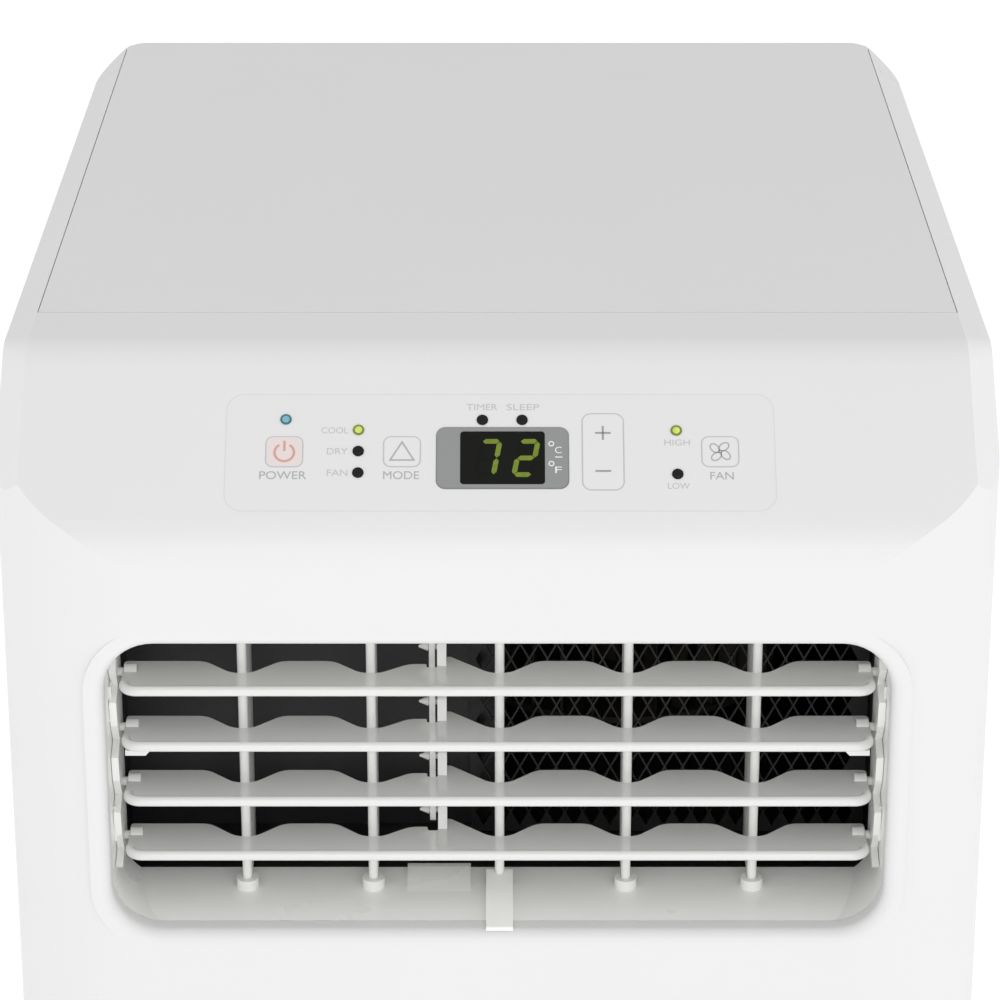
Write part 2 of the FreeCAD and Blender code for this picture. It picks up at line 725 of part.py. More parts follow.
def control_face():
    overlay = [overlay_loop()] + face_loops(s.key_gap)
    keep("overlay_plate", plate(overlay, "dims.overlay_thick", SLOPE_FRAME, "-dims.overlay_thick"))
    for name, x in KEYS.items():
        key = plate([key_loop(x)], 2.9, SLOPE_FRAME, -2.8)
        pad(key, [on_slope(x, s.key_mid, s.key_wide + 2.4, s.key_long + 2.4, s.key_round)], -4, 1.2)
        pad(key, [circle(x, -s.key_mid, 2)], -9, 5)
        keep(name, key)
    keep("temp_rocker", rocker())
    hole = on_slope(s.display_mid, s.bezel_mid, s.window_wide, s.window_long, 1.2)
    keep("display_bezel", plate([bezel_loop(), hole], 4.3, SLOPE_FRAME, -4))
    pane = on_slope(s.display_mid, s.bezel_mid, s.window_wide - 0.1, s.window_long - 0.1, 1.15)
    keep("display_window", plate([pane], 1.4, SLOPE_FRAME, -1.35))
    block = on_slope(s.display_mid, s.bezel_mid, 27, 19, 0.5)
    keep("display_module", plate([block], 7.5, SLOPE_FRAME, -9.2))
    lamps = []
    for x, down in LEDS:
        lamp = plate([circle(x, -down, s.led_radius)], 6, SLOPE_FRAME, -5.7)
        pad(lamp, [circle(x, -down, s.led_radius + 0.5)], -6.7, 1.2)
        lamps.append(lamp)
    keep("indicator_leds", group(*lamps))
    circuit_board()


def rocker():
    """Hollow plus and minus key that tilts on pins across its middle, with a post under each end."""
    middle = s.rocker_x
    body = plate([rocker_loop()], 6.1, SLOPE_FRAME, -6)
    hollow = on_slope(middle, s.key_mid, s.rocker_wide - 3, s.rocker_long - 3, 1.5)
    pocket(body, [hollow], -2.4, 20)
    posts = [circle(middle, -s.key_mid + side * 9, 1.5) for side in (-1, 1)]
    pad(body, posts, -9, 7)
    pad(body, [rectangle(middle, -s.key_mid, s.rocker_wide, 4, 0.5)], -6, 4)
    pins_at = SLOPE_FRAME.multVec(Vector(middle - 11.5, -s.key_mid, -4.5))
    pins = cylinder(1, 23, tuple(pins_at), "x")
    return fuse(body, pins)


def circuit_board():
    board = on_slope(0, 38, 190, 52, 2)
    keep("control_pcb", plate([board], 1.6, SLOPE_FRAME, "-dims.board_deep - 1.6"))
    places = [(x, -s.key_mid) for x in KEYS.values()]
    places += [(s.rocker_x, -s.key_mid + side * 9) for side in (-1, 1)]
    switches = []
    for x, y in places:
        switch = plate([rectangle(x, y, 6, 6, 0.4)], 1.6, SLOPE_FRAME, -12)
        pad(switch, [circle(x, y, 1.6)], -10.4, 0.65)
        switches.append(switch)
    keep("tact_switches", group(*switches))


# ---------------------------------------------------------------- room-air blower and evaporator

def wheel(centre, z_low, tall, radius, blades, bore):
    """Squirrel-cage wheel about an upright axis: floor disc, top ring, blades and a hub with a bore."""
    x, y = centre
    hole = circle(x, y, bore)
    body = plate([circle(x, y, radius), hole], 2.5, flat_at(z_low))
    pad(body, [circle(x, y, 12), hole], 2.5, 22)
    pad(body, [circle(x, y, radius), circle(x, y, radius - 9)], tall - 3, 3)
    leaves = []
    for number in range(blades):
        leaf = Part.makeBox(7, 1, tall - 3, Vector(radius - 8.2, -0.5, 1))
        leaf.rotate(Vector(radius - 4, 0, 0), Vector(0, 0, 1), 25)
        leaf.rotate(Vector(), Vector(0, 0, 1), 360 * number / blades)
        leaf.translate(Vector(x, y, z_low))
        leaves.append(leaf)
    return fuse(body, solid(Part.makeCompound(leaves)))


def room_blower():
    x = s.blower_x
    y = s.blower_y
    low = s.outlet_low - s.frame_wall
    tall = s.outlet_tall + 2 * s.frame_wall
    outer = [
        (-2.4, -91.4), (132.9, -91.4), (132.9, 70.4, 68),
        (-30.4, 70.4, 72), (-30.4, -68, 42), (-2.4, -74, 6),
    ]
    inner = [
        (0, -91.4), (130.5, -91.4), (130.5, 68, 66),
        (-28, 68, 70), (-28, -66, 40), (0, -72, 6),
    ]
    body = plate([outer], tall, flat_at(low))
    pocket(body, [inner], tall - 2.6, tall - 5.2)
    doc.recompute()
    intake = cylinder(48, 10, (x, y, low + tall - 5))
    motor_hole = cylinder(14, 10, (x, y, low - 2))
    mouth = box((130.5, 6, "dims.outlet_tall"), (0, -94, "dims.outlet_low"))
    keep("blower_scroll", cut(body, intake, motor_hole, mouth))
    keep("blower_wheel", wheel((x, y), 516, 84, s.blower_radius, 32, 4.05))

    # the motor hangs under the scroll by a plate with two ears
    lid_z = low - 2.2
    can = cylinder(38, lid_z - 460, (x, y, 460))
    lid = cylinder(30, 2, (x, y, lid_z))
    ears = box((100, 16, 2), (x - 50, y - 8, lid_z))
    shaft = cylinder(4, 40, (x, y, 500))
    keep("blower_motor", fuse(can, lid, shaft, ears))


def coil(left, right, near, far, low, top, rows):
    """Finned block with end plates and return bends standing out of one end."""
    block = box((right - left, far - near, top - low), (left, near, low))
    turn = Rotation(Vector(1, 0, 0), 90) * Rotation(Vector(0, 0, 1), -90)
    gap = (top - low) / rows
    bends = []
    for row in range(0, rows - 1, 2):
        bend = doc.addObject("Part::Torus", "bend")
        bend.Radius1 = gap / 2
        bend.Radius2 = 3.6
        bend.Angle3 = 180
        bend.Placement = Placement(Vector(right, (near + far) / 2, low + gap * (row + 1)), turn)
        bends.append(bend)
    return fuse(block, *bends)


def evaporator():
    """Cold coil, standing in the dish of the tray that parts the two chambers."""
    keep("evaporator_coil", coil(-125, 125, 98, 132, 460, 668, 8))
    tray = plate([plan(s.wall + 0.4)], 3, flat_at(s.tray_base))
    rim = [plan(s.wall + 0.4), plan(s.wall + 3)]
    pad(tray, rim, 3, 9)
    dish = [rectangle(0, 115, 278, 50, 4), rectangle(0, 115, 273, 45, 2)]
    pad(tray, dish, 3, 12)
    coil_seat = [rectangle(0, 115, 250, 30, 2)]
    pad(tray, coil_seat, 3, 16.6)
    motor_seat = [rectangle(s.blower_x, s.blower_y, 60, 60, 8)]
    pad(tray, motor_seat, 3, 16.6)
    field = BACK - s.field_deep
    spout = cylinder(6, field - 138, (90, 138, 450.5), "y")
    bore = cylinder(3.5, 90, (90, 130, 450.5), "y")
    notch = box((16, 20, 12), (-154, 105, s.tray_base - 2))
    behind = box((2 * s.field_half + 7, 20, 40), (-s.field_half - 3.5, field - s.wall - 0.5, s.tray_base - 5))
    keep("drain_tray", cut(fuse(cut(tray, behind), spout), bore, notch))


# ---------------------------------------------------------------- lower chamber

def hot_side():
    x = s.exhaust_x
    z = s.exhaust_z
    outer = [
        (-80, 438), (-80, 278), (-88, 200, 60), (-88, 81.6, 87),
        (114.6, 81.6, 92), (114.6, 230, 60), (80, 278), (80, 438),
    ]
    inner = [
        (-77.6, 435.6), (-77.6, 278), (-85.6, 200, 60), (-85.6, 84, 85),
        (112.2, 84, 90), (112.2, 230, 60), (77.6, 278), (77.6, 435.6),
    ]
    housing = plate([outer], 68, front_at(118))
    cavity = plate([inner], 63.2, front_at(115.6))
    chimney = box((160, 84, 154), (-80, 114, 284))
    throat = box((155.2, 84, 149.2), (-77.6, 111.6, 286.4))
    holes = [
        cylinder(58, 20, (x, 108, z), "y"), cylinder(14, 20, (x, 42, z), "y"),
        cylinder("dims.hose_radius + 1", 20, (0, 190, "dims.collar_z"), "y"),
    ]
    keep("exhaust_scroll", cut(fuse(housing, chimney), cavity, throat, *holes))

    lying = wheel((0, 0), 0, 50, s.exhaust_radius, 36, 5.05)
    doc.recompute()
    turned = lying.Shape.copy()
    turned.rotate(Vector(), Vector(1, 0, 0), -90)
    turned.translate(Vector(x, 60, z))
    keep("exhaust_wheel", solid(turned))

    can = cylinder(42, 56, (x, -12, z), "y")
    lid = cylinder(34, 5.5, (x, 44, z), "y")
    shaft = cylinder(5, 40, (x, 45, z), "y")
    stand = box((20, 30, 140), (x - 10, 0, 49.1))
    keep("exhaust_motor", fuse(can, lid, shaft, stand))
    keep("condenser_coil", coil(-100, 100, 121, 156, 52, 278, 8))

    ring_y = BACK - s.field_deep + 0.2
    pipe_y = 198.4
    flange = cylinder("dims.hose_radius + 10", 2.6, (0, ring_y, "dims.collar_z"), "y")
    pipe = cylinder("dims.hose_radius + 4", ring_y + 2.6 - pipe_y, (0, pipe_y, "dims.collar_z"), "y")
    bore = cylinder("dims.hose_radius", 40, (0, 185, "dims.collar_z"), "y")
    keep("exhaust_collar", cut(fuse(flange, pipe), bore))


def refrigeration():
    x = -85
    y = -95
    shell = cylinder(56, 185, (x, y, 62))
    dome = rounded(shell, 24, lambda edge: edge.BoundBox.ZLength < 0.01)
    foot_plate = [(x - 78, y - 40, 14), (x + 78, y - 40, 14), (x, y + 80, 14)]
    feet = plate([foot_plate], 3, flat_at(60.3))
    bottle = rounded(cylinder(24, 110, (-2, -128, 95)), 12, lambda edge: edge.BoundBox.ZLength < 0.01)
    strap = box((50, 16, 8), (-48, -130, 140))
    keep("compressor", fuse(dome, feet, bottle, strap))
    spots = [(x - 58, y - 30), (x + 58, y - 30), (x, y + 58)]
    keep("compressor_grommets", group(*[cylinder(9, 11.1, (gx, gy, 49.1)) for gx, gy in spots]))
    hot = tube([
        (x, y, 247.2), (x, y, 335), (-132, y, 335),
        (-132, 138, 335), (-132, 138, 240), (-100.2, 138, 240),
    ], 4, 14)
    cold = tube([
        (-125.2, 115, 480), (-146, 115, 480), (-146, 115, 360),
        (-146, -128, 360), (-2, -128, 360), (-2, -128, 205.2),
    ], 5, 14)
    keep("refrigerant_lines", group(solid(hot), solid(cold)))
    case = box((80, 76, 150), (66, -141, 49.2))
    lid = box((84, 4, 156), (64, -145, 49.2))
    capacitor = cylinder(20, 60, (106, -103, 199.2))
    keep("electrical_box", fuse(case, lid, capacitor))


# ---------------------------------------------------------------- base, casters, back fittings

CASTERS = {"front_left": (-1, -1), "front_right": (1, -1), "rear_left": (-1, 1), "rear_right": (1, 1)}


def base_pan():
    low = s.pan_base
    rise = s.shell_base - low - s.seam
    pan = plate([plan(1)], rise, flat_at(low))
    pad(pan, [plan(3.4), plan(5.6)], rise, 9)
    pocket(pan, [plan(5.6)], rise, rise - s.pan_floor)
    spots = [(sx * s.caster_x, sy * s.caster_y) for sx, sy in CASTERS.values()]
    pad(pan, [circle(px, py, 11) for px, py in spots], 0, 26)
    socket = "dims.kingpin_radius + dims.pin_clearance"
    sockets = [cylinder(socket, 24, (px, py, low - 0.5)) for px, py in spots]
    spout = cylinder(9, 14, (95, BACK - 16, 62), "y")
    bore = cylinder(4, 30, (95, BACK - 25, 62), "y")
    plug_seat = cylinder(8, 5, (95, BACK - 4.4, 62), "y")
    keep("base_pan", cut(fuse(pan, spout), bore, plug_seat, *sockets))


def caster(name, sx, sy):
    """Swivel fork on a kingpin, with the wheel trailing behind it."""
    x = sx * s.caster_x
    y = sy * s.caster_y
    axle_y = y + s.trail
    radius = s.wheel_radius
    half = s.wheel_wide / 2
    under = s.pan_base - 0.4
    crown = cylinder(15, 4, (x, y, under - 4))
    kingpin = cylinder("dims.kingpin_radius", 22, (x, y, under - 1.6))
    cheek = [
        (y - 13, under - 0.6, 3), (y - 13, under - 6.6, 6), (axle_y - 7, radius - 6, 6),
        (axle_y + 7, radius - 6, 6), (axle_y + 7, radius + 7, 6), (y + 13, under - 0.6, 3),
    ]
    cheeks = [plate([cheek], 2.6, side_at(x + start)) for start in (half + 0.6, -half - 3.2)]
    axle = cylinder("dims.axle_radius", 2 * half + 6, (x - half - 3, axle_y, radius), "x")
    above = box((80, 80, 20), (x - 40, y - 40, under))
    keep(f"caster_fork_{name}", fuse(cut(fuse(crown, *cheeks), above), axle, kingpin))

    tyre = cylinder("dims.wheel_radius", 2 * half, (x - half, axle_y, radius), "x")

    def at_tread(edge):
        bound = edge.BoundBox
        return bound.ZLength > 2 * radius - 1 and bound.XLength < 0.01

    soft = rounded(tyre, 2.5, at_tread)
    hollows = [cylinder(13, 3, (x + end, axle_y, radius), "x") for end in (-half - 1, half - 2)]
    bosses = [cylinder(5.5, 2, (x + end, axle_y, radius), "x") for end in (-half, half - 2)]
    bore = cylinder("dims.axle_radius + dims.pin_clearance", 2 * half + 2, (x - half - 1, axle_y, radius), "x")
    keep(f"caster_wheel_{name}", cut(fuse(cut(soft, *hollows), *bosses), bore))


def rear_fittings():
    field = BACK - s.field_deep
    air_intake(field)
    flange = cylinder(12, 2, (-105, field + 0.2, 330), "y")
    sleeve = cylinder(8, 11, (-105, field - 9, 330), "y")
    cord_bore = cylinder(4, 30, (-105, field - 15, 330), "y")
    keep("cord_inlet", cut(fuse(flange, sleeve), cord_bore))
    keep("drain_plug_upper", plug(90, field + 0.2, 450.5, 8, 3, 3.45, 12))
    keep("drain_plug_lower", plug(95, BACK - 4.2, 62, 7.5, 2.6, 3.95, 11))

    def at_crown(edge):
        return abs(edge.BoundBox.YMin - field - 2.1) < 0.01

    screws = []
    for x, z in SCREWS:
        head = rounded(cylinder(3.8, 2, (x, field + 0.1, z), "y"), 0.8, at_crown)
        shank = cylinder(1.75, 48, (x, field - 47.5, z), "y")
        slot = box((5, 1, 1), (x - 2.5, field + 1.4, z - 0.5))
        screws.append(cut(fuse(head, shank), slot))
    keep("cabinet_screws", group(*screws))


def plug(x, y, z, head_radius, head_thick, radius, deep):
    """Push-in drain plug: a head at y and a stem that reaches forwards into the spout."""
    head = cylinder(head_radius, head_thick, (x, y, z), "y")
    stem = cylinder(radius, deep + 1, (x, y - deep, z), "y")
    return fuse(head, stem)


def air_intake(field):
    """Upper grille, and behind it the filter cassette that slides out through the right side."""
    rim = plate([rectangle(0, 568, 238, 182, 4), rectangle(0, 568, 222, 166, 3)],
                3.6, Placement(Vector(0, field + 0.2, 0), FACING_BACK))
    sleeve = plate([rectangle(0, 568, 226, 170, 3), rectangle(0, 568, 222, 166, 3)],
                   4.4, Placement(Vector(0, field - 4.2, 0), FACING_BACK))
    slats = [box((224, 7.6, 2.2), (-112, field - 4.2, 489 + 9 * row)) for row in range(18)]
    ribs = [box((2.4, 5, 168), (x - 1.2, field - 4.2, 484)) for x in (-74, -37, 0, 37, 74)]
    keep("upper_grille", fuse(rim, sleeve, *slats, *ribs))

    frame = plate([rectangle(0, 567, 256, 190, 3), rectangle(0, 567, 238, 172, 3)], 8, front_at(151))
    film = box((240, 0.5, 174), (-120, 146.8, 480))
    level_bars = [box((240, 4, 1.6), (-120, 145, 480 + step * 34.6)) for step in range(1, 5)]
    upright_bars = [box((1.6, 4, 174), (-120 + step * 40, 145, 480)) for step in range(1, 6)]
    cap = box((38, 8, 190), (126, 143, 472))
    finger_hold = box((20, 6, 60), (148, 147, 537))
    grip = cut(cap, finger_hold)
    keep("filter_cassette", fuse(frame, film, *level_bars, *upright_bars, grip))


def handle(name, hand):
    frame = side_frame(hand)
    cup = plate([rectangle(0, 0, 110, 42, 10)], 23, frame, -23.8)
    pad(cup, [rectangle(0, 0, 116, 48, 12)], 0.2, 0.8)
    pad(cup, [rectangle(0, 0, 110, 42, 10)], -0.8, 1.2)
    pocket(cup, [rectangle(0, 0, 106, 38, 8)], 1, 22.8)
    keep(name, cup)


def check_and_write():
    doc.recompute()
    faulty = [o.Name for o in doc.Objects if "Invalid" in o.State or "Error" in o.State]
    for made in sub_parts:
        shape = made.Shape
        if shape.isNull() or not shape.isValid() or shape.Volume <= 0:
            faulty.append(made.Label)
    if faulty:
        raise SystemExit("failed: " + ", ".join(faulty))
    os.makedirs("parts", exist_ok=True)
    for made in sub_parts:
        made.Shape.exportStep(f"parts/{made.Label}.step")
        print(made.Label, len(made.Shape.Solids), round(made.Shape.Volume / 1000, 2))


shells()
outlet_frame()
louver_brackets()
for row in range(4):
    louver_blade(row)
louver_link()
for column in range(5):
    vane(column)
vane_link()
outlet_duct()
outlet_mesh()
control_face()
room_blower()
evaporator()
hot_side()
refrigeration()
base_pan()
for name, (sx, sy) in CASTERS.items():
    caster(name, sx, sy)
rear_fittings()
handle("handle_left", -1)
handle("handle_right", 1)
check_and_write()
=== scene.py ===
import math

import bmesh
import bpy
from mathutils import Matrix, Vector


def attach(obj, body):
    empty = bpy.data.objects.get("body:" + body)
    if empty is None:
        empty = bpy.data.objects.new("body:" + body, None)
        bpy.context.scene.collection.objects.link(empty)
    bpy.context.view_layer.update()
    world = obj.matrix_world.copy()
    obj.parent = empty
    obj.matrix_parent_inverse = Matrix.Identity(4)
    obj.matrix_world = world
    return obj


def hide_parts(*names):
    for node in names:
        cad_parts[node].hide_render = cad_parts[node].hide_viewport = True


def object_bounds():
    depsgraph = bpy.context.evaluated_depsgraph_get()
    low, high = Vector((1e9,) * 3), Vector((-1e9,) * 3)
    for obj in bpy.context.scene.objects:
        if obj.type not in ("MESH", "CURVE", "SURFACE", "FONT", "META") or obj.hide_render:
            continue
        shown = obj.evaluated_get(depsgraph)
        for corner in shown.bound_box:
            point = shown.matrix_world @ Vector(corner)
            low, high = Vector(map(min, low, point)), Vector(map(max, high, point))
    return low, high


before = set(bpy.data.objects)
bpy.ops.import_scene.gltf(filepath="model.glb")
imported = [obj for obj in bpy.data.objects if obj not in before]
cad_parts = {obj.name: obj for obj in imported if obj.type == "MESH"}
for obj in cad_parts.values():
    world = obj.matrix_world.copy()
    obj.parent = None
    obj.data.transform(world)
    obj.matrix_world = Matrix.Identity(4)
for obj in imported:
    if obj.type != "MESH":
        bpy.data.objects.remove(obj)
CAD_BOX = [list(corner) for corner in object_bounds()]

# ---------------------------------------------------------------- places, in metres, from the frame

MM = 0.001
LOW, HIGH = Vector(CAD_BOX[0]), Vector(CAD_BOX[1])
FRONT = LOW.y
TOP = HIGH.z
SLOPE_BACK = 55.4 * MM          # the bend at the top of the slope, behind the front
SLOPE_DROP = 48.6 * MM          # where the slope meets the front, below the top
SLOPE = math.atan2(SLOPE_DROP, SLOPE_BACK)
FACE = Matrix.Translation((0, FRONT + SLOPE_BACK, TOP)) @ Matrix.Rotation(SLOPE, 4, "X")

# ---------------------------------------------------------------- the control face, in millimetres

KEY_ROW = 39.8                  # middle of the keys, down the slope
KEYS = {"power_key": -70.1, "mode_key": -31.4, "fan_key": 73.2}     # across
ROCKER = 34.7
WINDOW = (1.65, 42.1)           # middle of the display, across and down

# width, length and corner radius
KEY_SIZE = (11.7, 10.6, 2.2)
ROCKER_SIZE = (13.2, 27.6, 2.8)
TINT_SIZE = (11.2, 10.1, 2.0)
BEZEL_SIZE = (43.5, 22.5, 3.0)
FILM_SIZE = (180.7, 42.9, 5.9)
FILM_MIDDLE = (0.9, 40.0)

INK = 0.05                      # thickness of printed ink
KEY_TOP = 0.1                   # how far the keys stand out of the film
BEZEL_TOP = 0.3                 # and the display's surround
GAP_SHADE_WIDTH = 0.4                   # width of the grey lines round the keys: painted shade of the gap between each key and the film
GAP_SHADE_OFFSET = 0.03              # between a key and its outline
RING_END, RING_STEPS = 342, 19  # a nearly full ring, which the closing step joins up


# ---------------------------------------------------------------- materials

def nodes_of(name):
    material = bpy.data.materials.new(name)
    material.use_nodes = True
    tree = material.node_tree
    return material, tree, tree.nodes["Principled BSDF"]


def add(tree, kind, **values):
    node = tree.nodes.new(kind)
    for key, value in values.items():
        if hasattr(node, key):
            setattr(node, key, value)
        else:
            node.inputs[key].default_value = value
    return node


def noise(tree, scale, detail=3.0, roughness=0.55):
    place = tree.nodes.get("place") or add(tree, "ShaderNodeTexCoord", name="place")
    made = add(tree, "ShaderNodeTexNoise", Scale=scale, Detail=detail, Roughness=roughness)
    tree.links.new(place.outputs["Object"], made.inputs["Vector"])
    return made


NOISE_LOW, NOISE_HIGH = 0.3, 0.7        # noise stays mostly between these


def spread(tree, source, low, high):
    """Noise turned into a value between low and high."""
    made = add(tree, "ShaderNodeMapRange")
    made.inputs["From Min"].default_value = NOISE_LOW
    made.inputs["From Max"].default_value = NOISE_HIGH
    made.inputs["To Min"].default_value = low
    made.inputs["To Max"].default_value = high
    tree.links.new(source, made.inputs["Value"])
    return made.outputs["Result"]


def tint(tree, source, first, second):
    """Noise turned into a colour between first and second."""
    ramp = add(tree, "ShaderNodeValToRGB")
    ramp.color_ramp.elements[0].position = NOISE_LOW
    ramp.color_ramp.elements[1].position = NOISE_HIGH
    ramp.color_ramp.elements[0].color = (*first, 1)
    ramp.color_ramp.elements[1].color = (*second, 1)
    tree.links.new(source, ramp.inputs["Fac"])
    return ramp.outputs["Color"]


BUMP_DEPTH = 0.0002


def bump(tree, shader, source, strength):
    made = add(tree, "ShaderNodeBump", Strength=strength, Distance=BUMP_DEPTH)
    tree.links.new(source, made.inputs["Height"])
    tree.links.new(made.outputs["Normal"], shader.inputs["Normal"])


def plastic(name, colour, rough, change, grain, relief, coat=0.0, specular=0.5, coat_rough=0.12):
    """Moulded plastic: cloudy colour by a small change, uneven gloss, and a fine grain with some relief."""
    material, tree, shader = nodes_of(name)
    clouds = noise(tree, 9, 4)
    darker = tuple(c * (1 - change) for c in colour)
    lighter = tuple(min(1, c * (1 + change)) for c in colour)
    tree.links.new(tint(tree, clouds.outputs["Fac"], darker, lighter), shader.inputs["Base Color"])
    smears = noise(tree, 38, 5)
    gloss = spread(tree, smears.outputs["Fac"], rough * 0.88, rough * 1.12)
    tree.links.new(gloss, shader.inputs["Roughness"])
    texture = noise(tree, grain, 2)
    bump(tree, shader, texture.outputs["Fac"], relief)
    shader.inputs["Specular IOR Level"].default_value = specular
    shader.inputs["Coat Weight"].default_value = coat
    shader.inputs["Coat Roughness"].default_value = coat_rough
    return material


def metal(name, colour, rough, change=0.12):
    """Bare metal: blotchy colour and fine scratches."""
    material, tree, shader = nodes_of(name)
    blotches = noise(tree, 60, 6)
    darker = tuple(c * (1 - change) for c in colour)
    tree.links.new(tint(tree, blotches.outputs["Fac"], darker, colour), shader.inputs["Base Color"])
    scratches = noise(tree, 900, 2)
    gloss = spread(tree, scratches.outputs["Fac"], rough * 0.7, rough * 1.3)
    tree.links.new(gloss, shader.inputs["Roughness"])
    bump(tree, shader, scratches.outputs["Fac"], 0.15)
    shader.inputs["Metallic"].default_value = 1.0
    return material


def glow(name, colour, strength, base):
    """A lit lens: its brightness falls off unevenly, as moulded epoxy does."""
    material, tree, shader = nodes_of(name)
    cells = noise(tree, 700, 2)
    dim = tuple(c * 0.75 for c in colour)
    pale = tuple(min(1, c * 1.2) for c in base)
    tree.links.new(tint(tree, cells.outputs["Fac"], dim, colour), shader.inputs["Emission Color"])
    tree.links.new(tint(tree, cells.outputs["Fac"], base, pale), shader.inputs["Base Color"])
    shader.inputs["Emission Strength"].default_value = strength
    shader.inputs["Roughness"].default_value = 0.25
    return material


M = {
    "shell": plastic("shell_white_plastic", (0.80, 0.80, 0.80), 0.42, 0.006, 1500, 0.05),
    "louver": plastic("louver_white_plastic", (0.80, 0.80, 0.785), 0.14, 0.01, 1200, 0.01,
                      coat=0.5, coat_rough=0.05),
    # whiter than the shell's plastic: painted light, brightening the vanes and outlet frame that sit in the
    # shade of the outlet recess
    "vane": plastic("vane_plastic_whitened_painted_light", (0.94, 0.94, 0.92), 0.3, 0.008, 1200, 0.03),
    "overlay": plastic("overlay_film", (0.79, 0.79, 0.79), 0.5, 0.006, 2600, 0.05),
    "duct": plastic("duct_black_plastic", (0.012, 0.012, 0.014), 0.38, 0.2, 500, 0.1),
    "mesh": plastic("mesh_black_plastic", (0.009, 0.0085, 0.008), 0.45, 0.15, 900, 0.1),
    "fan": plastic("fan_dark_plastic", (0.045, 0.037, 0.028), 0.5, 0.2, 700, 0.1),
    "bezel": plastic("bezel_grey_film", (0.28, 0.29, 0.285), 0.42, 0.03, 2400, 0.06),
    "window": plastic("window_dark_acrylic", (0.007, 0.008, 0.006), 0.12, 0.1, 300, 0.01, specular=0.14),
    "print": plastic("printed_grey_ink", (0.42, 0.43, 0.43), 0.55, 0.04, 2200, 0.05),
    # pale grey: the ink of the small legends, and painted shade of the gaps round the keys
    "pale_ink_and_gap_shade": plastic("pale_ink_and_painted_gap_shade", (0.55, 0.56, 0.56), 0.55, 0.03, 2200, 0.05),
    "film_edge": plastic("film_cut_edge", (0.7, 0.7, 0.7), 0.5, 0.02, 2600, 0.05),
    "print_dark": plastic("printed_dark_ink", (0.33, 0.34, 0.34), 0.55, 0.05, 2200, 0.05),
    "print_red": plastic("printed_red_ink", (0.66, 0.36, 0.31), 0.55, 0.04, 2200, 0.05),
    "print_pink": plastic("printed_pink_tint", (0.8, 0.71, 0.69), 0.55, 0.03, 2200, 0.05),
    "print_white": plastic("printed_white_ink", (0.82, 0.83, 0.82), 0.55, 0.02, 2200, 0.05),
    "lens_dark": plastic("lens_dark_epoxy", (0.006, 0.006, 0.008), 0.25, 0.1, 300, 0.02, specular=0.25),
    "foam": plastic("foam_grey", (0.42, 0.42, 0.41), 0.8, 0.08, 350, 0.5),
    "board": plastic("board_green_mask", (0.015, 0.11, 0.045), 0.35, 0.12, 600, 0.08),
    "switch": plastic("switch_black_nylon", (0.018, 0.018, 0.018), 0.45, 0.1, 900, 0.08),
    "rubber": plastic("rubber_black", (0.02, 0.02, 0.02), 0.75, 0.15, 500, 0.2, specular=0.3),
    "rubber_grey": plastic("rubber_grey", (0.4, 0.4, 0.4), 0.7, 0.06, 500, 0.2, specular=0.3),
    "caster": plastic("caster_grey_nylon", (0.09, 0.09, 0.095), 0.45, 0.08, 700, 0.12),
    "wheel": plastic("wheel_dark_tread", (0.045, 0.045, 0.048), 0.6, 0.1, 500, 0.2, specular=0.3),
    "filter": plastic("filter_grey_mesh", (0.3, 0.31, 0.32), 0.6, 0.1, 420, 0.8),
    "fins": metal("fin_aluminium", (0.72, 0.73, 0.75), 0.35),
    "copper": metal("copper_tube", (0.72, 0.36, 0.22), 0.3, 0.3),
    "zinc": metal("zinc_steel", (0.6, 0.61, 0.63), 0.38),
    "paint": plastic("compressor_black_paint", (0.015, 0.015, 0.016), 0.3, 0.2, 260, 0.2),
    "enamel": plastic("motor_grey_enamel", (0.22, 0.23, 0.24), 0.4, 0.1, 260, 0.2),
    "digit": glow("digit_green", (0.2, 0.28, 0.006), 0.8, (0.02, 0.035, 0.008)),
    "ghost": plastic("digit_unlit", (0.0078, 0.009, 0.0065), 0.3, 0.1, 500, 0.05, specular=0.1),
    "lamp_green": glow("lamp_green", (0.66, 0.72, 0.16), 0.95, (0.05, 0.1, 0.02)),
    "lamp_blue": glow("lamp_blue", (0.26, 0.56, 0.64), 0.85, (0.02, 0.05, 0.08)),
    # rims of the lit lamps in the lamp's colour: painted glow from the lamp, while unlit lamps' rims stay
    # dark lens plastic
    "rim_painted_green_glow": plastic("lamp_rim_painted_green_glow", (0.2, 0.25, 0.015), 0.3, 0.1, 400, 0.03),
    "rim_painted_blue_glow": plastic("lamp_rim_painted_blue_glow", (0.04, 0.17, 0.2), 0.3, 0.1, 400, 0.03),
}

